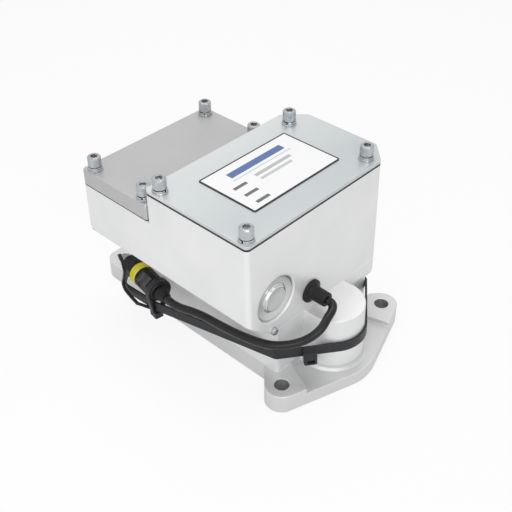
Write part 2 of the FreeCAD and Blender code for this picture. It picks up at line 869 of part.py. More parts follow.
def make_connector_socket():
    """Mating end with moulded ribs and two terminal holes in its face."""
    y0 = ring_half_w + 0.05
    y1 = ring_half_w + socket_len
    core = turned_y([(0, y0), (socket_r, y0), (socket_r, y1 - 1), (socket_r - 1, y1), (0, y1)], 0, 0, 0)
    ribs = []
    for i in range(8):
        rib = Part.makeBox(1.6, socket_len - 3, socket_rib_r - 1, V(-0.8, y0 + 1, 1))
        rib.rotate(V(0, 0, 0), V(0, 1, 0), 45 * i + 22.5)
        ribs.append(rib)
    shell = rod_y(socket_rib_r, 0, 0, y0, y1)
    socket = merge([core] + [rib.common(shell) for rib in ribs])
    for side in (-1, 1):
        socket = socket.cut(rod_y(terminal_r, side * 2.6, 0, y1 - 6, y1 + 1))
    return from_connector(socket)


def make_connector_boot():
    y1 = -ring_half_w - body_len
    profile = [
        (0, y1 - boot_len), (boot_tip_r, y1 - boot_len), (boot_r - 0.3, y1 - 2.2),
        (boot_r, y1 - 1.6), (boot_r, y1), (0, y1),
    ]
    return from_connector(turned_y(profile, 0, 0, 0))


def make_latch():
    """Spring latch on the connector body, hooked at its free end."""
    y1 = -ring_half_w - latch_back
    z0 = body_r - 1.2
    side = [
        (y1 - latch_len, z0), (y1, z0), (y1, z0 + latch_h + 0.6), (y1 - 2, z0 + latch_h + 0.6),
        (y1 - 3, z0 + latch_h - 0.2), (y1 - latch_len + 1.5, z0 + latch_h - 0.2),
        (y1 - latch_len, z0 + 1.3),
    ]
    points = [V(-latch_w / 2, y, z) for y, z in side]
    block = Part.Face(Part.makePolygon(points + [points[0]])).extrude(V(latch_w, 0, 0))
    block = block.cut(rod_y(body_r + 0.02, 0, 0, y1 - latch_len - 1, y1 + 1))
    block.rotate(V(0, 0, 0), V(0, 1, 0), -38)
    return from_connector(block)


def tie_circles():
    """What the long tie goes round, seen from above, counter-clockwise from the boss."""
    share = (tie_z - plate_h) / (boss_top - plate_h)
    boss_r = boss_foot_r + (boss_top_r - boss_foot_r) * share
    r = corner_r
    out = (front_rim_z - tie_z) * lean
    front = front_wall_y - out + right_recess + r
    rear_x = rear_right + (rear_rim_z - overhang_z) * lean - r
    return [
        (boss_x, boss_y, boss_r), (foot_half_width - r, front, r),
        (foot_half_width - r, front_back_y - r, r), (rear_x, column_rear - r + run_gap, r),
        (-foot_half_width + r, column_rear - r + run_gap, r),
        *[(-foot_half_width - tie_bulge + bend, y, bend) for y, bend in tie_bulges],
        (-foot_half_width + r, front - right_recess, r),
    ]


def tilt_tie(shape):
    """The long tie sinks a little towards the rear."""
    tilted = shape.copy()
    tilted.rotate(V(0, front_wall_y, tie_z), V(1, 0, 0), -tie_drop_deg)
    return tilted


def make_long_tie():
    low = tie_z - tie_w / 2
    outer = slab(belt_wire(tie_circles(), run_gap + tie_t, flat(low)), V(0, 0, tie_w))
    inner = slab(belt_wire(tie_circles(), run_gap, flat(low - 1)), V(0, 0, tie_w + 2))
    return tilt_tie(outer.cut(inner))


def make_long_tie_head():
    """Locking head of the long tie, on its run left of the boss."""
    w, d, h = tie_head
    circles = tie_circles()
    outward, corner, boss = belt_run(circles[-1], circles[0], 2 * run_gap + tie_t + d / 2)
    block = Part.makeBox(w, d, h, V(-w / 2, -d / 2, -h + tie_w / 2))
    edges = [e for e in block.Edges if abs(e.Vertexes[0].Z - e.Vertexes[1].Z) > 1]
    block = block.makeFillet(1.4, edges)
    window = Part.makeBox(w - 3.6, d + 2, 2.4, V(-(w - 3.6) / 2, -d / 2 - 1, -h + tie_w / 2 + 1.2))
    block = block.cut(window)
    block.rotate(V(0, 0, 0), V(0, 0, 1), math.degrees(outward) + 90)
    block.translate(corner + (boss - corner) * tie_head_share + V(0, 0, tie_z))
    return tilt_tie(block)


def small_tie_circles():
    """What the small tie goes round, in the plane across the connector's axis."""
    low = tie_low_z - ring_z
    return [
        (small_tie_left, low, 1.0), (small_tie_right, low, 1.0), (0.0, 0.0, body_r),
    ]


tie_low_z = (tie_z - tie_w / 2 - (ring_y - small_tie_back - front_wall_y)
             * math.tan(math.radians(tie_drop_deg)) + 0.4)


def make_small_tie():
    y0 = -small_tie_back - small_tie_w / 2
    gap = 0.05
    outer = slab(belt_wire(small_tie_circles(), gap + small_tie_t, upright(y0)), V(0, small_tie_w, 0))
    inner = slab(belt_wire(small_tie_circles(), gap, upright(y0 - 1)), V(0, small_tie_w + 2, 0))
    w, d, h = small_head
    low = tie_low_z - ring_z - 1.0 - gap - small_tie_t
    head = Part.makeBox(w, d, h, V(small_head_side - w / 2, -small_tie_back - d / 2, low - h + 0.3))
    edges = [e for e in head.Edges if abs(e.Vertexes[0].Z - e.Vertexes[1].Z) > 1]
    head = head.makeFillet(1.0, edges)
    tail = slab(rounded_wire(band_outline(tail_points, tail_t, tail_bend), sideways(tail_x)), V(tail_w, 0, 0))
    y0, z0 = tail_points[0]
    end = rounded_wire([
        (tail_x, z0 - tail_t / 2, 0), (tail_x + tail_w, z0 - tail_t / 2, 0),
        (tail_x + tail_w, z0 + tail_t / 2, 0), (tail_x, z0 + tail_t / 2, 0),
    ], upright(y0 + tail_t))
    root = slab(end, V(*tail_root) - V(tail_x + tail_w / 2, y0 + tail_t, z0))
    return from_connector(merge([outer.cut(inner), head, root, tail]))


def make_ground_screw():
    profile = [
        (0, 0), (ground_head_r - 0.8, 0), (ground_head_r, 0.8), (ground_head_r, 2.4),
        (ground_shank_r, 2.4), (ground_shank_r, 2.4 + wall - 1.5), (0, 2.4 + wall - 1.5),
    ]
    screw = turned_y(profile, ground_x, ground_z, ground_face - 2.4)
    slot = Part.makeBox(2 * ground_head_r, 1.0, 0.7, V(ground_x - ground_head_r, ground_face - 2.9, ground_z - 0.35))
    slot.rotate(V(ground_x, ground_face, ground_z), V(0, 1, 0), 35)
    return screw.cut(slot)


def make_shaft():
    y0 = front_bearing_y + 0.4
    y1 = rear_bearing_y + bearing_w - 0.2
    return turned_y([
        (0, y0), (shaft_r - 0.6, y0), (shaft_r, y0 + 0.6), (shaft_r, y1 - 0.6), (shaft_r - 0.6, y1), (0, y1),
    ], shaft_x, shaft_z, 0)


def make_armature():
    """Soft iron sector on a round hub, turned to its rest place."""
    y0, y1 = armature_front, armature_front + armature_len
    hub = rod_y(armature_hub_r, shaft_x, shaft_z, y0, y1)
    half = armature_half_deg
    place = upright(y0)
    centre = (shaft_x, shaft_z)
    tips = []
    for angle in (-half, half):
        turn = math.radians(angle)
        tips.append(place(shaft_x + armature_r * math.cos(turn), shaft_z + armature_r * math.sin(turn)))
    wire = Part.Wire([
        segment(place(*centre), tips[0]),
        arc_edge(place, centre, armature_r, -half, half),
        segment(tips[1], place(*centre)),
    ])
    sector = slab(wire, V(0, armature_len, 0))
    iron = merge([hub, sector]).cut(rod_y(shaft_r + fit_gap, shaft_x, shaft_z, y0 - 1, y1 + 1))
    return turn_about_shaft(iron, half_swing)


def core_point(u, v):
    return V(shaft_x + u, core_front, shaft_z + v)


def make_core():
    """Laminated C-core whose two shoes close in on the armature."""
    gap_r = armature_r + air_gap
    arm_z = core_half_h - core_arm_t
    place = upright(core_front)
    centre = (shaft_x, shaft_z)

    def on_gap(angle):
        turn = math.radians(angle)
        return (gap_r * math.cos(turn), gap_r * math.sin(turn))

    tip_u, tip_v = on_gap(pole_open_deg)
    top_u, top_v = on_gap(pole_close_deg)
    edges = []

    def run(points):
        for a, b in zip(points, points[1:]):
            edges.append(segment(core_point(*a), core_point(*b)))

    run([(limb_far, -core_half_h), (limb_far, core_half_h), (pole_tip_left, core_half_h), (top_u, top_v)])
    edges.append(arc_edge(place, centre, gap_r, pole_close_deg, pole_open_deg))
    run([
        (tip_u, tip_v), (tip_u + pole_tip_run, tip_v), (shoe_heel, arm_z), (limb_near, arm_z),
        (limb_near, -arm_z), (shoe_heel, -arm_z), (tip_u + pole_tip_run, -tip_v), (tip_u, -tip_v),
    ])
    edges.append(arc_edge(place, centre, gap_r, -pole_open_deg, -pole_close_deg))
    run([(top_u, -top_v), (pole_tip_left, -core_half_h), (limb_far, -core_half_h)])
    core = slab(Part.Wire(edges), V(0, core_len, 0))
    for x, y in core_screws:
        core = core.cut(rod_z(screw_shank_r + screw_hole_gap, x, y, floor_top - 1, shaft_z))
    return core


def core_box(grow, z_half, y_grow):
    """Box round the core's upright limb, from one end flange of the bobbin to the other."""
    u0, u1 = limb_near - grow, limb_far + grow
    return Part.makeBox(u1 - u0, core_len + 2 * y_grow, 2 * z_half,
                        V(shaft_x + u0, core_front - y_grow, shaft_z - z_half))


def make_bobbin():
    half = core_half_h - core_arm_t - run_gap
    limb = core_box(run_gap, half + 1, run_gap)
    sleeve = core_box(run_gap + bobbin_wall, half, run_gap + bobbin_wall)
    flange = core_box(coil_reach, half, coil_reach)
    middle = core_box(3 * winding_t, half - bobbin_wall, 3 * winding_t)
    return merge([sleeve, flange.cut(middle)]).cut(limb)


def make_winding():
    half = core_half_h - core_arm_t - run_gap - bobbin_wall - 0.05
    inner = core_box(run_gap + bobbin_wall + 0.05, half + 1, run_gap + bobbin_wall + 0.05)
    outer = core_box(run_gap + bobbin_wall + winding_t, half, run_gap + bobbin_wall + winding_t)
    edges = [e for e in outer.Edges if abs(e.Vertexes[0].Z - e.Vertexes[1].Z) > 1]
    return outer.makeFillet(winding_corner_r, edges).cut(inner)


def make_core_screws():
    arm_top = floor_top + core_arm_t
    screws = []
    for x, y in core_screws:
        shank = rod_z(screw_shank_r, x, y, floor_top - wall + 0.3, arm_top)
        head = rod_z(core_screw_head_r, x, y, arm_top, arm_top + core_screw_head_h)
        screws.append(merge([shank, head.cut(hex_socket(x, y, arm_top + core_screw_head_h))]))
    return Part.Compound(screws)


def make_lever():
    """Hub on the shaft, tapering arm, forked end for the link."""
    y0, y1 = lever_front, lever_front + lever_t
    end_x = shaft_x + lever_len
    circles = [(shaft_x, shaft_z, lever_hub_r), (end_x, shaft_z, lever_end_r)]
    lever = slab(belt_wire(circles, 0.0, upright(y0)), V(0, lever_t, 0))
    slot_t = link_t + 2 * side_gap
    slot = Part.makeBox(slot_root + 2 * lever_end_r, slot_t, 4 * lever_end_r,
                        V(end_x - slot_root, y0 + (lever_t - slot_t) / 2, shaft_z - 2 * lever_end_r))
    lever = lever.cut(slot)
    lever = lever.cut(rod_y(shaft_r + fit_gap, shaft_x, shaft_z, y0 - 1, y1 + 1))
    lever = lever.cut(rod_y(link_pin_r + fit_gap, end_x, shaft_z, y0 - 1, y1 + 1))
    lever = lever.cut(rod_z(set_screw_r + screw_hole_gap, shaft_x, (y0 + y1) / 2, shaft_z,
                            shaft_z + 2 * lever_hub_r))
    return turn_about_shaft(lever, half_swing)


def make_set_screw():
    y = lever_front + lever_t / 2
    screw = rod_z(set_screw_r, shaft_x, y, shaft_z + shaft_r + 0.05, shaft_z + lever_hub_r + 0.6)
    screw = screw.cut(prism([
        (shaft_x - 1.2, y - 1.2, 0), (shaft_x + 1.2, y - 1.2, 0),
        (shaft_x + 1.2, y + 1.2, 0), (shaft_x - 1.2, y + 1.2, 0),
    ], shaft_z + lever_hub_r - 1.6, shaft_z + lever_hub_r + 2))
    return turn_about_shaft(screw, half_swing)


def make_link_pin():
    """Headed pin through the lever's fork and the link's upper eye."""
    y0, y1 = lever_front, lever_front + lever_t
    end_x = shaft_x + lever_len
    pin = turned_y([
        (0, y0 - 2.0), (link_pin_r + 1.2, y0 - 2.0), (link_pin_r + 1.2, y0 - 0.05), (link_pin_r, y0 - 0.05),
        (link_pin_r, y1 + 1.4), (link_pin_r - 0.5, y1 + 1.9), (0, y1 + 1.9),
    ], end_x, shaft_z, 0)
    return turn_about_shaft(pin, half_swing)


turn = math.radians(half_swing)
link_top = (shaft_x + lever_len * math.cos(turn), shaft_z + lever_len * math.sin(turn))
link_low = (link_top[0], link_top[1] - link_len)
link_y = lever_front + (lever_t - link_t) / 2


def make_link():
    """Flat bar with an eye at each end, hanging from the lever into the base."""
    bar = Part.makeBox(2 * link_half_w, link_t, link_len, V(link_low[0] - link_half_w, link_y, link_low[1]))
    eyes = [rod_y(link_eye_r, x, z, link_y, link_y + link_t) for x, z in (link_top, link_low)]
    link = merge([bar] + eyes)
    for x, z in (link_top, link_low):
        link = link.cut(rod_y(link_pin_r + pin_gap, x, z, link_y - 1, link_y + link_t + 1))
    return link


def make_return_spring():
    """Flat spiral strip made of half circles whose centres take turns."""
    half = spring_strip / 2
    place = upright(spring_front)
    outer, inner = [], []
    for i in range(spring_coils):
        radius = spring_start_r + i * spring_step
        centre = (shaft_x + (spring_step if i % 2 else 0.0), shaft_z)
        start, end = (180, 360) if i % 2 else (0, 180)
        outer.append(arc_edge(place, centre, radius + half, start, end))
        inner.append(arc_edge(place, centre, radius - half, start, end))
    first = segment(place(shaft_x + spring_start_r - half, shaft_z), place(shaft_x + spring_start_r + half, shaft_z))
    sign = -1 if spring_coils % 2 else 1
    far_r = spring_start_r + (spring_coils - 1) * spring_step
    far_x = shaft_x + (0.0 if spring_coils % 2 else spring_step)
    last = segment(place(far_x + sign * (far_r - half), shaft_z), place(far_x + sign * (far_r + half), shaft_z))
    wire = Part.Wire(Part.__sortEdges__([first, last] + outer + inner))
    return slab(wire, V(0, spring_w, 0))


def make_spring_post():
    return rod_y(spring_post_r, shaft_x, post_z, front_back_y - wall + 1.5, spring_front + spring_w)


def make_stop_pins():
    pins = [rod_y(stop_pin_r, x, z, lever_front + 1, column_rear - 1.2) for x, z in stop_places]
    return Part.Compound(pins)


def cable_route():
    """From the inlet round the front corner of the foot and back to the connector."""
    ends = []
    for back in (boot_len + cable_lead, boot_len):
        point = from_connector(Part.Vertex(V(0, -ring_half_w - body_len - back, 0))).Point
        ends.append((point.x, point.y, point.z))
    tip = inlet_face - grommet_reach
    return [(inlet_x, tip, inlet_z), (inlet_x, tip - cable_exit, inlet_z)] + list(cable_bends) + ends


os.makedirs("parts", exist_ok=True)

export("housing", make_housing())
export("top_gasket", make_front_gasket())
export("top_cover", make_front_cover())
export("rear_gasket", make_rear_gasket())
export("rear_cover", make_rear_cover())
nameplate_x = box_left + nameplate_left
nameplate_y = front_wall_y + nameplate_front
nameplate_z = front_cover_z + front_cover_t
export("nameplate", prism([
    (nameplate_x, nameplate_y, 1.5), (nameplate_x + nameplate_w, nameplate_y, 1.5),
    (nameplate_x + nameplate_w, nameplate_y + nameplate_d, 1.5),
    (nameplate_x, nameplate_y + nameplate_d, 1.5),
], nameplate_z, nameplate_z + nameplate_t))
for cover, places, seat, grip in (
        ("top", front_screws, front_cover_z + front_cover_t, screw_grip),
        ("rear", rear_screws, rear_cover_z + rear_cover_t, screw_grip + rear_cover_t - 1)):
    screws, springs, flats = cover_fasteners(places, seat, grip)
    export(cover + "_cover_screws", screws)
    export(cover + "_spring_washers", springs)
    export(cover + "_flat_washers", flats)
export("core_plug", make_core_plug())
export("front_bearing", make_bearing(front_bearing_y))
export("rear_bearing", make_bearing(rear_bearing_y))
export("cable_grommet", make_grommet())
export("cable", tube(cable_route(), cable_r, "cable"))
export("connector_body", make_connector_body())
export("connector_seal_ring", make_seal_ring())
export("connector_socket", make_connector_socket())
export("connector_boot", make_connector_boot())
export("connector_latch", make_latch())
export("long_tie", make_long_tie())
export("long_tie_head", make_long_tie_head())
export("small_tie", make_small_tie())
export("ground_screw", make_ground_screw())
export("shaft", make_shaft())
export("armature", make_armature())
export("pole_core", make_core())
export("coil_bobbin", make_bobbin())
export("coil_winding", make_winding())
export("core_screws", make_core_screws())
export("output_lever", make_lever())
export("lever_set_screw", make_set_screw())
export("link_pin", make_link_pin())
export("rack_link", make_link())
export("return_spring", make_return_spring())
export("spring_post", make_spring_post())
export("stop_pins", make_stop_pins())
print("link eye", [round(c, 3) for c in link_low], "link top", [round(c, 3) for c in link_top])
print("ring centre", [round(c, 3) for c in ring_centre])
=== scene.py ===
import bpy
import math
from mathutils import Matrix, Vector


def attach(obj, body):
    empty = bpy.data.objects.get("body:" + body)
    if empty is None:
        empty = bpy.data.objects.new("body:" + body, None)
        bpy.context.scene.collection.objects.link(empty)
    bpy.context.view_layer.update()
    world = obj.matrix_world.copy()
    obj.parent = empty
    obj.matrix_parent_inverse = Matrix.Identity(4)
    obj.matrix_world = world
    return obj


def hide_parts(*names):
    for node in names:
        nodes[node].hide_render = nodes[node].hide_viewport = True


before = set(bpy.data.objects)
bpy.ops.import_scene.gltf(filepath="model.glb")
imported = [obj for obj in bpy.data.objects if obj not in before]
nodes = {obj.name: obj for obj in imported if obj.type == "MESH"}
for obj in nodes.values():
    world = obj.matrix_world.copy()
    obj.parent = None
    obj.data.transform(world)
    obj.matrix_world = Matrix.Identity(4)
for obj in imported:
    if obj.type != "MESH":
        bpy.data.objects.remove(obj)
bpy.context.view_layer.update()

# ---- Camera, floor and light ----
# A table-top product view from the front left corner, a little above the cover.
# The floor and surround are plain and pale, and the lamps are large and soft.
scene = bpy.context.scene
camera_data = bpy.data.cameras.new("view")
camera_data.lens = 60.2
camera_data.sensor_width = 36.0
camera_data.clip_start = 0.02
camera_data.clip_end = 20.0
camera = bpy.data.objects.new("view", camera_data)
scene.collection.objects.link(camera)
scene.camera = camera
camera_place = (-0.3355, -0.2412, 0.4140)
sight_right = Vector((0.68123, -0.73207, 0.0))
sight_up = Vector((0.45672, 0.42500, 0.78153))
sight_back = sight_right.cross(sight_up)
turn = Matrix((sight_right, sight_up, sight_back)).transposed().to_4x4()
camera.matrix_world = Matrix.Translation(camera_place) @ turn

floor_reach, floor_height = 4.0, -0.0005
floor_corners = [(x * floor_reach, y * floor_reach, floor_height) for x, y in (
    (-1, -1), (1, -1), (1, 1), (-1, 1))]
floor_mesh = bpy.data.meshes.new("floor")
floor_mesh.from_pydata(floor_corners, [], [(0, 1, 2, 3)])
floor = bpy.data.objects.new("floor", floor_mesh)
scene.collection.objects.link(floor)
scene.view_settings.view_transform = "Standard"


class Signal:
    """A socket in a node tree, of a material or of geometry nodes, that takes plain arithmetic."""

    def __init__(self, tree, socket):
        self.tree = tree
        self.socket = socket

    def node(self, kind, settings, inputs, output=0):
        """One output of a new node; its inputs take signals or plain values."""
        made = self.tree.nodes.new(kind)
        for key, value in settings.items():
            if key == "stops":
                ramp = made.color_ramp
                while len(ramp.elements) < len(value):
                    ramp.elements.new(1.0)
                for element, (place, colour) in zip(ramp.elements, value):
                    element.position = place
                    element.color = colour
            else:
                setattr(made, key, value)
        for key, value in inputs.items():
            if isinstance(value, Signal):
                self.tree.links.new(value.socket, made.inputs[key])
            else:
                made.inputs[key].default_value = value
        return Signal(self.tree, made.outputs[output])

    def math(self, operation, other=0.0):
        """A math node on this signal, and on a second one where it takes two."""
        return self.node("ShaderNodeMath", {"operation": operation}, {0: self, 1: other})

    def __add__(self, other):
        return self.math("ADD", other)

    def __sub__(self, other):
        return self.math("SUBTRACT", other)

    def __rsub__(self, other):
        return self.node("ShaderNodeMath", {"operation": "SUBTRACT"}, {0: other, 1: self})

    def __mul__(self, other):
        return self.math("MULTIPLY", other)

    def __truediv__(self, other):
        return self.math("DIVIDE", other)

    __rmul__ = __mul__

    def between(self, low, high):
        """1 where the signal lies between two limits."""
        return self.math("GREATER_THAN", low) * self.math("LESS_THAN", high)

    def ramp(self, start, slope):
        """0 up to a start, then a steady rise to 1, where it stays."""
        return self.node("ShaderNodeMath", {"operation": "MULTIPLY", "use_clamp": True}, {
            0: self - start, 1: slope})

    def axis(self, index):
        """One coordinate of a place: 0 across, 1 in depth, 2 in height."""
        return self.node("ShaderNodeSeparateXYZ", {}, {0: self}, output=index)


def finish(name, **values):
    """A material with its surface node's plain values set, and its object coordinates."""
    material = bpy.data.materials.new(name)
    material.use_nodes = True
    tree = material.node_tree
    surface = tree.nodes["Principled BSDF"]
    for key, value in values.items():
        surface.inputs[key.replace("_", " ")].default_value = value
    place = tree.nodes.new("ShaderNodeTexCoord").outputs["Object"]
    return material, surface, Signal(tree, place)


def feed(surface, **signals):
    """Link what varies over a surface to its sockets."""
    for key, signal in signals.items():
        signal.tree.links.new(signal.socket, surface.inputs[key.replace("_", " ")])


floor_white = (0.93, 0.93, 0.93, 1)
floor_material, floor_surface, floor_place = finish("floor_white", Base_Color=floor_white, Roughness=0.9)
floor_tree = floor_material.node_tree
floor_ray = floor_tree.nodes.new("ShaderNodeLightPath")
seen = Signal(floor_tree, floor_ray.outputs["Is Camera Ray"])
mirrored = Signal(floor_tree, floor_ray.outputs["Is Glossy Ray"])
plain = floor_place.node("ShaderNodeEmission", {}, {"Color": (1, 1, 1, 1), "Strength": 1.0})
mixed = floor_place.node("ShaderNodeMixShader", {}, {
    0: seen * 0.86 + mirrored * 0.3, 1: Signal(floor_tree, floor_surface.outputs[0]), 2: plain})
floor_tree.links.new(mixed.socket, floor_tree.nodes["Material Output"].inputs[0])
floor_mesh.materials.append(floor_material)

world = bpy.data.worlds.new("surround")
world.use_nodes = True
scene.world = world
world_tree = world.node_tree
backdrop = world_tree.nodes["Background"]
backdrop.inputs["Color"].default_value = (1, 1, 1, 1)
ray = world_tree.nodes.new("ShaderNodeLightPath")
direct = Signal(world_tree, ray.outputs["Is Camera Ray"])
reflected = Signal(world_tree, ray.outputs["Is Glossy Ray"])
strength = direct * 0.55 + reflected * 0.4 + 0.45
world_tree.links.new(strength.socket, backdrop.inputs["Strength"])


housing_middle = (0.0, 0.07, 0.06)


def soft_lamp(name, place, size, power):
    """Square lamp that faces the middle of the housing."""
    lamp = bpy.data.lights.new(name, "AREA")
    lamp.size = size
    lamp.energy = power
    holder = bpy.data.objects.new(name, lamp)
    holder.location = place
    aim = Vector(housing_middle) - Vector(place)
    holder.rotation_mode = "QUATERNION"
    holder.rotation_quaternion = aim.to_track_quat("-Z", "Y")
    scene.collection.objects.link(holder)


soft_lamp("key", (-0.42, -0.60, 0.60), 0.4, 1.75)
soft_lamp("fill", (-0.60, -0.12, 0.30), 0.35, 0.75)
soft_lamp("top", (0.15, 0.25, 1.1), 0.8, 4.8)

# ---- Housing casting ----
# One aluminium casting with a satin, slightly grainy skin. Its flange is a little darker,
# the top of the round boss is lightened as a painted highlight, the ear bores are darkened
# with painted shade, and the rounded edges get a thin painted highlight line
# (but not the shallow bend low on the walls).


def bevel_and_highlight_mask(place, width, gain):
    """Rounded normal, and how near a point lies to an edge, from 0 to 1; the finishes paint edge
    highlights with it.
    """
    rounded = place.node("ShaderNodeBevel", {"samples": 6}, {"Radius": width})
    flat = place.node("ShaderNodeNewGeometry", {}, {}, output="Normal")
    same = place.node("ShaderNodeVectorMath", {"operation": "DOT_PRODUCT"}, {
        0: rounded, 1: flat}, output="Value")
    return rounded, (1 - same).ramp(0.0, gain)


def noise(place, scale, detail=2.0, stretch=(1, 1, 1)):
    """Cloudy or streaky pattern; stretch squeezes it along each axis."""
    spot = place.node("ShaderNodeVectorMath", {"operation": "MULTIPLY"}, {0: place, 1: stretch})
    return place.node("ShaderNodeTexNoise", {}, {"Vector": spot, "Scale": scale, "Detail": detail})


def blend(place, share, first, second):
    """Colour between two others."""
    factor, colour_a, colour_b, mixed_colour = 0, 6, 7, 2
    return place.node("ShaderNodeMix", {"data_type": "RGBA"}, {
        factor: share, colour_a: first, colour_b: second}, output=mixed_colour)


def relief(place, height, strength, depth, normal=None):
    """Fine bumps from a height pattern, on top of another normal if one is given."""
    inputs = {"Strength": strength, "Distance": depth, "Height": height}
    if normal:
        inputs["Normal"] = normal
    return place.node("ShaderNodeBump", {}, inputs)


def dress(material, *names):
    """Give solids their finish."""
    for name in names:
        solid = nodes[name].data
        solid.materials.clear()
        solid.materials.append(material)


boss_top, boss_slack, boss_back = 0.0510, 0.0003, 0.0100
flange_top, flange_softness = 0.0145, 900.0
ear_aside, ear_bore, ear_height = 0.0525, 0.00512, 0.0134
bend_low, bend_high = 0.0335, 0.0415
cast_metal, surface, place = finish("cast_body", Metallic=0.35)
grain = noise(place, 1100.0, 3.0)
cloud = noise(place, 26.0)
# Painted highlight: rounded edges are lightened to a thin near-white line, except in the shallow bend
# low on the walls.
rounded, edge = bevel_and_highlight_mask(place, 0.0012, 13.0)
across, depth, height = place.axis(0), place.axis(1), place.axis(2)
# Painted highlight: the flat top of the boss is lightened to near white, standing in for light falling
# on it; its grain is left off and its roughness raised.
boss_top_highlight = height.between(boss_top - boss_slack, boss_top + boss_slack) \
    * depth.math("LESS_THAN", boss_back)
foot = (flange_top - height).ramp(0.0, flange_softness)
# Painted shade: the colour inside the ear bores is darkened where shade falls.
aside = across.math("ABSOLUTE") - ear_aside
from_bore = aside * aside + depth * depth
bore_shade = height.math("LESS_THAN", ear_height) * from_bore.math("LESS_THAN", ear_bore ** 2)
edge = edge * (1 - height.between(bend_low, bend_high))
tone = place.node("ShaderNodeValToRGB", {"stops": [
    (0.32, (0.83, 0.835, 0.84, 1)), (0.68, (0.88, 0.882, 0.885, 1))]}, {"Fac": cloud})
for share, colour in (
        (grain * 0.10, (0.68, 0.68, 0.69, 1)), (foot * 0.6, (0.62, 0.62, 0.625, 1)),
        (boss_top_highlight, (0.96, 0.96, 0.96, 1)), (bore_shade, (0.36, 0.36, 0.365, 1)),
        (edge * 0.8, (0.98, 0.98, 0.98, 1))):
    tone = blend(place, share, tone, colour)
feed(surface, Base_Color=tone, Normal=relief(place, grain * (1 - boss_top_highlight), 0.16, 0.0002, rounded),
     Roughness=cloud * 0.10 + 0.36 - edge * 0.12 + boss_top_highlight * 0.1)
dress(cast_metal, "housing")

# ---- Shaft, bearings and spring ----
# Ground steel shaft in two sealed ball bearings, with a flat spiral return spring.
# The spring's strip is tempered, so it is a little straw brown.
ground_steel, surface, place = finish("ground_steel", Metallic=1.0)
turning = noise(place, 300.0, 3.0, (1, 12, 1))
feed(surface, Base_Color=blend(place, turning, (0.46, 0.47, 0.49, 1), (0.62, 0.63, 0.65, 1)),
     Roughness=turning * 0.15 + 0.22)
dress(ground_steel, "shaft", "spring_post", "stop_pins")

bearing_steel, surface, place = finish("bearing_steel", Metallic=1.0)
shaft_x, shaft_z = -0.048, 0.0767
bearing_radius = 0.016
ring_tone, shield_inside, shield_outside = (
    (0.66, 0.67, 0.69, 1), (0.045, 0.045, 0.05, 1), (0.05, 0.05, 0.055, 1))
across = place.axis(0) - shaft_x
rise = place.axis(2) - shaft_z
reach = (across * across + rise * rise).math("SQRT")
shield = place.node("ShaderNodeValToRGB", {"stops": [
    (0.0, ring_tone), (0.57, ring_tone), (0.575, shield_inside),
    (0.83, shield_outside), (0.835, ring_tone)]}, {"Fac": reach / bearing_radius})
feed(surface, Base_Color=shield, Roughness=noise(place, 260.0) * 0.1 + 0.22)
dress(bearing_steel, "front_bearing", "rear_bearing")

tempered, surface, place = finish("tempered_strip", Metallic=1.0, Roughness=0.3)
feed(surface, Base_Color=blend(place, noise(place, 90.0), (0.36, 0.30, 0.22, 1), (0.47, 0.42, 0.34, 1)),
     Normal=relief(place, noise(place, 500.0, 2.0, (1, 14, 1)), 0.1, 0.0001))
dress(tempered, "return_spring")

# ---- Torque motor ----
# Armature and core are stacks of thin iron sheets, dark at the cut edges.
# The coil is enamelled copper wire on a moulded nylon bobbin, held by two screws in the core.
sheet_thickness, wire_pitch = 0.0010, 0.00125


def waves(ruler, pitch):
    """Even stripes along a coordinate, from 0 to 1 and back within each pitch."""
    return (ruler * (2 / pitch * math.pi)).math("SINE") * 0.5 + 0.5


laminated, surface, place = finish("laminated_iron", Metallic=0.85)
sheet = waves(place.axis(1), sheet_thickness)
feed(surface, Base_Color=blend(place, sheet, (0.10, 0.10, 0.105, 1), (0.30, 0.30, 0.31, 1)),
     Roughness=sheet * -0.15 + 0.55, Normal=relief(place, sheet, 0.5, 0.0001))
dress(laminated, "armature", "pole_core")

enamel, surface, place = finish("enamelled_copper", Metallic=0.8, Coat_Weight=0.5)
turns = waves(place.axis(2), wire_pitch)
feed(surface, Base_Color=blend(place, turns, (0.22, 0.07, 0.02, 1), (0.66, 0.29, 0.12, 1)),
     Roughness=0.5 - turns * 0.2, Normal=relief(place, turns, 0.8, 0.0002))
dress(enamel, "coil_winding")

bobbin_nylon, surface, place = finish("bobbin_nylon", Roughness=0.5)
feed(surface, Base_Color=blend(place, noise(place, 70.0), (0.62, 0.58, 0.46, 1), (0.72, 0.68, 0.57, 1)))
dress(bobbin_nylon, "coil_bobbin")

# ---- Output lever and link ----
# Milled steel lever clamped to the shaft by a set screw, with a forked end.
# A flat link with two eyes hangs from its pin into the open base.
milled, surface, place = finish("milled_steel", Metallic=0.9)
cutter = noise(place, 180.0, 3.0, (8, 1, 1))
rounded, edge = bevel_and_highlight_mask(place, 0.0004, 4.0)
tone = blend(place, cutter, (0.30, 0.31, 0.33, 1), (0.44, 0.45, 0.47, 1))
# Painted highlight: edges are lightened to pale steel.
feed(surface, Base_Color=blend(place, edge, tone, (0.66, 0.67, 0.69, 1)),
     Roughness=cutter * 0.2 + 0.28, Normal=relief(place, cutter, 0.12, 0.0002, rounded))
dress(milled, "output_lever", "rack_link", "lever_set_screw")

# ---- Gaskets ----
# Black rubbered fibre sheets that seal both covers.
# Only their cut edges show, as a dark line under each cover.
sealing, surface, place = finish("gasket_sheet", Roughness=0.75)
fibre = noise(place, 900.0, 3.0, (1, 1, 3))
feed(surface, Base_Color=blend(place, fibre, (0.016, 0.017, 0.018, 1), (0.045, 0.046, 0.048, 1)),
     Normal=relief(place, fibre, 0.25, 0.0002))
dress(sealing, "top_gasket", "rear_gasket")
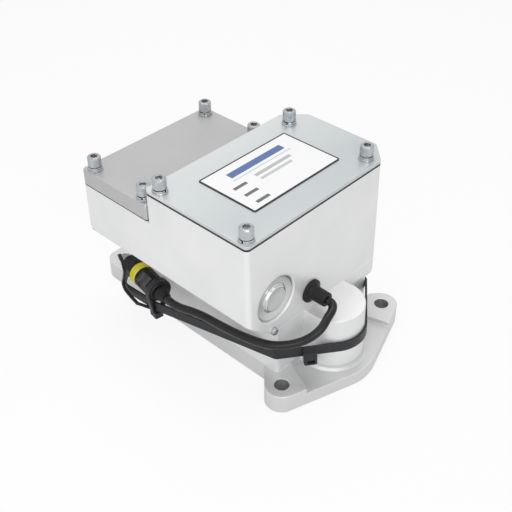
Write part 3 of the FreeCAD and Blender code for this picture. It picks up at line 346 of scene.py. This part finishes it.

# ---- Top cover ----
# Rolled aluminium plate with a fine satin grain along its length and a cool, pale tone,
# lightened towards the rear by a painted sheen. Its cut edge carries a painted highlight.
rolled, surface, place = finish("top_plate", Metallic=0.45)
grain = noise(place, 60.0, 4.0, (1, 26, 1))
cloud = noise(place, 14.0)
rounded, edge = bevel_and_highlight_mask(place, 0.0006, 5.0)
# Painted sheen: the plate's colour lightens towards the rear, standing in for light on it.
rear_sheen = place.axis(1).ramp(0.035, 16.0)
front_tone = blend(place, grain, (0.55, 0.60, 0.61, 1), (0.60, 0.64, 0.645, 1))
sheen_tone = blend(place, grain, (0.74, 0.765, 0.765, 1), (0.78, 0.80, 0.80, 1))
tone = blend(place, rear_sheen, front_tone, sheen_tone)
tone = blend(place, cloud * 0.35, tone, (0.66, 0.68, 0.675, 1))
# Painted highlight: the cut edge is lightened to near white.
feed(surface, Base_Color=blend(place, edge, tone, (0.90, 0.91, 0.91, 1)),
     Roughness=grain * 0.10 + 0.30, Normal=relief(place, grain, 0.05, 0.0001, rounded))
dress(rolled, "top_cover")

# ---- Rear cover ----
# Thicker cast lid over the lever bay, in a neutral pale grey with the casting's grain.
# Its rounded rim carries a painted highlight.
cast_lid, surface, place = finish("rear_plate", Metallic=0.35)
grain = noise(place, 1000.0, 3.0)
cloud = noise(place, 30.0)
rounded, edge = bevel_and_highlight_mask(place, 0.0009, 5.0)
tone = blend(place, cloud, (0.49, 0.492, 0.492, 1), (0.54, 0.54, 0.538, 1))
# Painted highlight: the rounded rim is lightened to near white.
feed(surface, Base_Color=blend(place, edge, tone, (0.88, 0.88, 0.88, 1)),
     Roughness=cloud * 0.1 + 0.38, Normal=relief(place, grain, 0.12, 0.0002, rounded))
dress(cast_lid, "rear_cover")

# ---- Nameplate ----
# White printed foil with a black border, left without lettering: a blue bar stands
# where a heading would be, over short grey bars for its lines.
plate_left, plate_rear = -0.0451, 0.0766
plate_length_mm, plate_depth_mm, border_mm = 77.8, 46.8, 1.1
blue, pale_blue, dark_grey, grey, pale_grey, black = (
    (0.10, 0.17, 0.42, 1), (0.50, 0.60, 0.78, 1), (0.16, 0.16, 0.17, 1),
    (0.52, 0.53, 0.55, 1), (0.60, 0.61, 0.63, 1), (0.006, 0.006, 0.007, 1))
foil, surface, place = finish("nameplate", Roughness=0.32)
along = place.axis(0) - plate_left
down = plate_rear - place.axis(1)


def bar(left, right, rear, front):
    """1 inside a printed bar, given in millimetres from the plate's rear left corner."""
    return along.between(left / 1000, right / 1000) * down.between(rear / 1000, front / 1000)


ink = place.node("ShaderNodeTexNoise", {}, {"Vector": place, "Scale": 500.0, "Detail": 2.0})
tone = blend(place, ink, (0.95, 0.952, 0.955, 1), (0.975, 0.975, 0.98, 1))
for left, right, rear, front, colour in (
        (16, 64, 7.5, 13.0, blue), (14, 66, 15.4, 16.2, pale_blue), (8, 19, 21.0, 23.6, dark_grey),
        (8, 19, 30.2, 32.8, dark_grey), (8, 19, 39.4, 42.0, dark_grey), (28, 60, 19.6, 22.4, grey),
        (28, 56, 24.6, 27.0, pale_grey)):
    tone = blend(place, bar(left, right, rear, front), tone, colour)
border = 1 - bar(border_mm, plate_length_mm - border_mm, border_mm, plate_depth_mm - border_mm)
feed(surface, Base_Color=blend(place, border, tone, black))
dress(foil, "nameplate")

# ---- Cover screws ----
# Zinc-plated cap screws with knurled heads and six-sided sockets, four on each cover.
# Each stands on a split spring washer and a flat washer.
zinc, surface, place = finish("zinc_plate", Metallic=1.0)
spots = noise(place, 420.0, 3.0)
rounded, edge = bevel_and_highlight_mask(place, 0.00025, 3.0)
tone = blend(place, spots, (0.40, 0.42, 0.44, 1), (0.58, 0.60, 0.61, 1))
# Painted highlight: edges are lightened to near white.
feed(surface, Base_Color=blend(place, edge, tone, (0.95, 0.95, 0.95, 1)),
     Roughness=spots * 0.12 + 0.16, Normal=relief(place, spots, 0.08, 0.0001, rounded))
dress(zinc, "core_screws", "link_pin", "ground_screw")

fastener_tree = bpy.data.node_groups.new("cap_screw_stack", "GeometryNodeTree")
sizes = (
    ("Head Radius", 0.00436), ("Head Height", 0.007), ("Head Chamfer", 0.0007),
    ("Socket Radius", 0.0025), ("Socket Depth", 0.0026), ("Knurl Count", 34.0),
    ("Knurl Depth", 0.00018), ("Spring Washer Radius", 0.0046),
    ("Spring Washer Thickness", 0.0018), ("Washer Radius", 0.0050), ("Washer Thickness", 0.0012),
    ("Shank Radius", 0.0025), ("Shank Length", 0.0115), ("Split Turn", 0.965),
)
doors = fastener_tree.interface
doors.new_socket("Geometry", in_out="INPUT", socket_type="NodeSocketGeometry")
identifiers = {}
for name, value in sizes:
    made = doors.new_socket(name, in_out="INPUT", socket_type="NodeSocketFloat")
    identifiers[name] = made.identifier
finish_socket = doors.new_socket("Finish", in_out="INPUT", socket_type="NodeSocketMaterial")
doors.new_socket("Geometry", in_out="OUTPUT", socket_type="NodeSocketGeometry")
entry = fastener_tree.nodes.new("NodeGroupInput")
seats = Signal(fastener_tree, entry.outputs["Geometry"])
size = {name: Signal(fastener_tree, entry.outputs[name]) for name, value in sizes}


def lifted(solid, height):
    """The solid moved up by a height."""
    up = solid.node("ShaderNodeCombineXYZ", {}, {2: height})
    return solid.node("GeometryNodeTransform", {}, {"Geometry": solid, "Translation": up})


def ring(outer, inner, thickness, share):
    """Square-edged ring round the upright axis, closed or split, its foot at height 0."""
    middle = (outer + inner) * 0.5
    line = seats.node("GeometryNodeCurveSpiral", {}, {
        "Resolution": 56, "Rotations": share, "Start Radius": middle, "End Radius": middle,
        "Height": thickness * 0.18})
    outline = seats.node("GeometryNodeCurvePrimitiveQuadrilateral", {}, {
        "Width": outer - inner, "Height": thickness * 0.96})
    swept = seats.node("GeometryNodeCurveToMesh", {}, {
        "Curve": line, "Profile Curve": outline, "Fill Caps": True})
    return lifted(swept, thickness * 0.41)


def rod(sides, radius, length, **more):
    """Upright rod centred on the origin."""
    inputs = {"Vertices": sides, "Radius": radius, "Depth": length}
    inputs.update((key.replace("_", " "), value) for key, value in more.items())
    return seats.node("GeometryNodeMeshCylinder", {"fill_type": "NGON"}, inputs)


blank = rod(136, size["Head Radius"], size["Head Height"], Side_Segments=10)
spot = blank.node("GeometryNodeInputPosition", {}, {})
x, y, z = spot.axis(0), spot.axis(1), spot.axis(2)
angle = y.math("ARCTAN2", x)
flute = (angle * size["Knurl Count"]).math("COSINE") * 0.5 + 0.5
top = z.math("GREATER_THAN", size["Head Height"] * 0.45)
foot = z.math("LESS_THAN", size["Head Height"] * -0.45)
drawn_in = top * size["Head Chamfer"] + foot * size["Head Chamfer"] * 0.35 \
    + (1 - top) * (1 - foot) * flute * size["Knurl Depth"]
narrow = 1 - drawn_in / size["Head Radius"]
drawn_place = spot.node("ShaderNodeCombineXYZ", {}, {0: x * narrow, 1: y * narrow, 2: z})
knurled = blank.node("GeometryNodeSetPosition", {}, {"Geometry": blank, "Position": drawn_place})
key = rod(6, size["Socket Radius"], size["Socket Depth"] * 2.0)
key = lifted(key, size["Head Height"] * 0.5)
head = seats.node("GeometryNodeMeshBoolean", {"operation": "DIFFERENCE", "solver": "EXACT"}, {
    "Mesh 1": knurled, "Mesh 2": key})
stack_height = size["Washer Thickness"] + size["Spring Washer Thickness"]
head = lifted(head, stack_height + size["Head Height"] * 0.5)
shank = rod(24, size["Shank Radius"], size["Shank Length"] + stack_height)
shank = lifted(shank, (stack_height - size["Shank Length"]) * 0.5)
spring_ring = ring(size["Spring Washer Radius"], size["Shank Radius"] * 1.04,
                   size["Spring Washer Thickness"] * 0.84, size["Split Turn"])
spring_ring = lifted(spring_ring, size["Washer Thickness"])
flat_ring = ring(size["Washer Radius"], size["Shank Radius"] * 1.06, size["Washer Thickness"], 1.0)
stack = fastener_tree.nodes.new("GeometryNodeJoinGeometry")
for piece in (flat_ring, spring_ring, shank, head):
    fastener_tree.links.new(piece.socket, stack.inputs[0])
spin = seats.node("FunctionNodeRandomValue", {"data_type": "FLOAT"}, {
    "Min": 0.0, "Max": 6.28, "Seed": 5}, output=1)
placed = seats.node("GeometryNodeInstanceOnPoints", {}, {
    "Points": seats, "Instance": Signal(fastener_tree, stack.outputs[0]),
    "Rotation": seats.node("ShaderNodeCombineXYZ", {}, {2: spin})})
solid = placed.node("GeometryNodeRealizeInstances", {}, {"Geometry": placed})
coated = solid.node("GeometryNodeSetMaterial", {}, {
    "Geometry": solid, "Material": Signal(fastener_tree, entry.outputs["Finish"])})
leave = fastener_tree.nodes.new("NodeGroupOutput")
fastener_tree.links.new(coated.socket, leave.inputs[0])

front_face, rear_face = 0.1284, 0.1156
fastener_seats = (
    (-0.0676, 0.0152, front_face), (0.0446, 0.0187, front_face), (0.0446, 0.08255, front_face),
    (-0.0676, 0.0855, front_face), (-0.0666, 0.1023, rear_face), (0.0315, 0.1023, rear_face),
    (0.0315, 0.1493, rear_face), (-0.0666, 0.1493, rear_face),
)
seat_mesh = bpy.data.meshes.new("fastener_seats")
seat_mesh.from_pydata(fastener_seats, [], [])
seat_holder = bpy.data.objects.new("fastener_seats", seat_mesh)
scene.collection.objects.link(seat_holder)
modifier = seat_holder.modifiers.new("stacks", "NODES")
modifier.node_group = fastener_tree
for name, value in sizes:
    modifier[identifiers[name]] = value
modifier[finish_socket.identifier] = zinc
ready = seat_holder.evaluated_get(bpy.context.evaluated_depsgraph_get())
fastener_mesh = bpy.data.meshes.new_from_object(ready)
fastener_mesh.name = "cover_fasteners"
seat_holder.modifiers.remove(modifier)
bpy.data.objects.remove(seat_holder)
fastener_mesh.shade_smooth()
fastener_mesh.set_sharp_from_angle(angle=math.radians(32))
fasteners = bpy.data.objects.new("cover_fasteners", fastener_mesh)
scene.collection.objects.link(fasteners)
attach(fasteners, "casing")
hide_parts("top_cover_screws", "top_spring_washers", "top_flat_washers",
            "rear_cover_screws", "rear_spring_washers", "rear_flat_washers")

# ---- Core plug ----
# Pressed steel plug sunk in the bore over the front bearing.
# It is bright from the press, with softly rounded steps whose edges carry a painted highlight.
pressed, surface, place = finish("pressed_steel", Metallic=1.0)
drawn = noise(place, 60.0, 2.0)
rounded, edge = bevel_and_highlight_mask(place, 0.0008, 2.0)
tone = blend(place, drawn, (0.66, 0.67, 0.665, 1), (0.72, 0.73, 0.725, 1))
# Painted highlight: step edges are lightened to near white.
feed(surface, Base_Color=blend(place, edge, tone, (0.94, 0.94, 0.94, 1)),
     Roughness=drawn * 0.06 + 0.2, Normal=rounded)
dress(pressed, "core_plug")

# ---- Cable inlet and ties ----
# A moulded rubber grommet seals the cable. A nylon tie round the foot of the housing
# holds cable and connector, and a small tie gathers them at the side.
rubber, surface, place = finish("moulded_rubber", Specular_IOR_Level=0.3)
skin = noise(place, 1300.0, 3.0)
rounded, edge = bevel_and_highlight_mask(place, 0.0005, 3.0)
# Painted highlight: edges are lightened to dark grey.
feed(surface, Base_Color=blend(place, edge, (0.010, 0.010, 0.011, 1), (0.04, 0.04, 0.042, 1)),
     Roughness=skin * 0.15 + 0.42, Normal=relief(place, skin, 0.2, 0.0002, rounded))
dress(rubber, "cable_grommet", "connector_boot")

nylon, surface, place = finish("tie_nylon", Specular_IOR_Level=0.35)
skin = noise(place, 800.0)
rounded, edge = bevel_and_highlight_mask(place, 0.0004, 3.0)
# Painted highlight: edges are lightened to dark grey.
feed(surface, Base_Color=blend(place, edge, (0.020, 0.021, 0.024, 1), (0.10, 0.10, 0.11, 1)),
     Roughness=skin * 0.12 + 0.33, Normal=relief(place, skin, 0.08, 0.0002, rounded))
dress(nylon, "long_tie", "long_tie_head", "small_tie")

# ---- Connector ----
# Two-way sealed plug with a black moulded body and mating end.
# A yellow silicone ring seals it, and a dark grey spring latch locks it.
moulded, surface, place = finish("moulded_black", Specular_IOR_Level=0.3)
skin = noise(place, 1500.0, 2.0)
rounded, edge = bevel_and_highlight_mask(place, 0.0004, 3.0)
# Painted highlight: edges are lightened to dark grey.
feed(surface, Base_Color=blend(place, edge, (0.006, 0.006, 0.007, 1), (0.04, 0.04, 0.042, 1)),
     Roughness=skin * 0.1 + 0.34, Normal=relief(place, skin, 0.12, 0.0001, rounded))
dress(moulded, "connector_body", "connector_socket")

latch_grey, surface, place = finish("latch_grey", Specular_IOR_Level=0.35)
skin = noise(place, 1200.0, 2.0)
rounded, edge = bevel_and_highlight_mask(place, 0.0004, 3.0)
# Painted highlight: edges are lightened to mid grey.
feed(surface, Base_Color=blend(place, edge, (0.040, 0.040, 0.044, 1), (0.14, 0.14, 0.15, 1)),
     Roughness=skin * 0.1 + 0.32, Normal=relief(place, skin, 0.1, 0.0001, rounded))
dress(latch_grey, "connector_latch")

silicone, surface, place = finish("yellow_silicone", Coat_Weight=0.2)
skin = noise(place, 500.0, 2.0)
feed(surface, Base_Color=blend(place, skin, (0.68, 0.60, 0.015, 1), (0.80, 0.73, 0.03, 1)),
     Roughness=skin * 0.12 + 0.36)
dress(silicone, "connector_seal_ring")

# ---- Cable ----
# Two-core cable in one round black jacket. It leaves the inlet, turns down and back round
# the front corner of the foot, and runs under the overhang to the connector.
cable_diameter = 0.0055
cable_points = (
    (-0.01590, -0.00421, 0.06340), (-0.01590, -0.00711, 0.06340), (-0.01730, -0.00960, 0.06310),
    (-0.02060, -0.01160, 0.06230), (-0.02610, -0.01240, 0.06040), (-0.03210, -0.01350, 0.05690),
    (-0.04020, -0.01130, 0.05280), (-0.04770, -0.00460, 0.04860), (-0.05420, 0.00550, 0.04510),
    (-0.05770, 0.01690, 0.04370), (-0.06010, 0.03110, 0.04280), (-0.06110, 0.04690, 0.04170),
    (-0.06160, 0.06510, 0.04030), (-0.06449, 0.08453, 0.03620), (-0.06286, 0.09379, 0.03620),
)
jacket, surface, place = finish(
    "cable_jacket", Specular_IOR_Level=0.2, Coat_Weight=0.35, Coat_Roughness=0.2)
skin = noise(place, 1400.0)
feed(surface, Base_Color=blend(place, skin, (0.007, 0.007, 0.008, 1), (0.012, 0.012, 0.013, 1)),
     Roughness=skin * 0.1 + 0.28, Normal=relief(place, skin, 0.1, 0.0002))
cable_curve = bpy.data.curves.new("cable_line", "CURVE")
cable_curve.dimensions = "3D"
spline = cable_curve.splines.new("NURBS")
spline.points.add(len(cable_points) - 1)
for point, (x, y, z) in zip(spline.points, cable_points):
    point.co = (x, y, z, 1.0)
spline.order_u = 3
spline.use_endpoint_u = True
cable_curve.bevel_depth = cable_diameter / 2
cable_curve.bevel_resolution = 8
cable_curve.resolution_u = 12
cable_curve.use_fill_caps = True
cable_curve.materials.append(jacket)
cable = bpy.data.objects.new("cable_line", cable_curve)
scene.collection.objects.link(cable)
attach(cable, "casing")
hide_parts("cable")
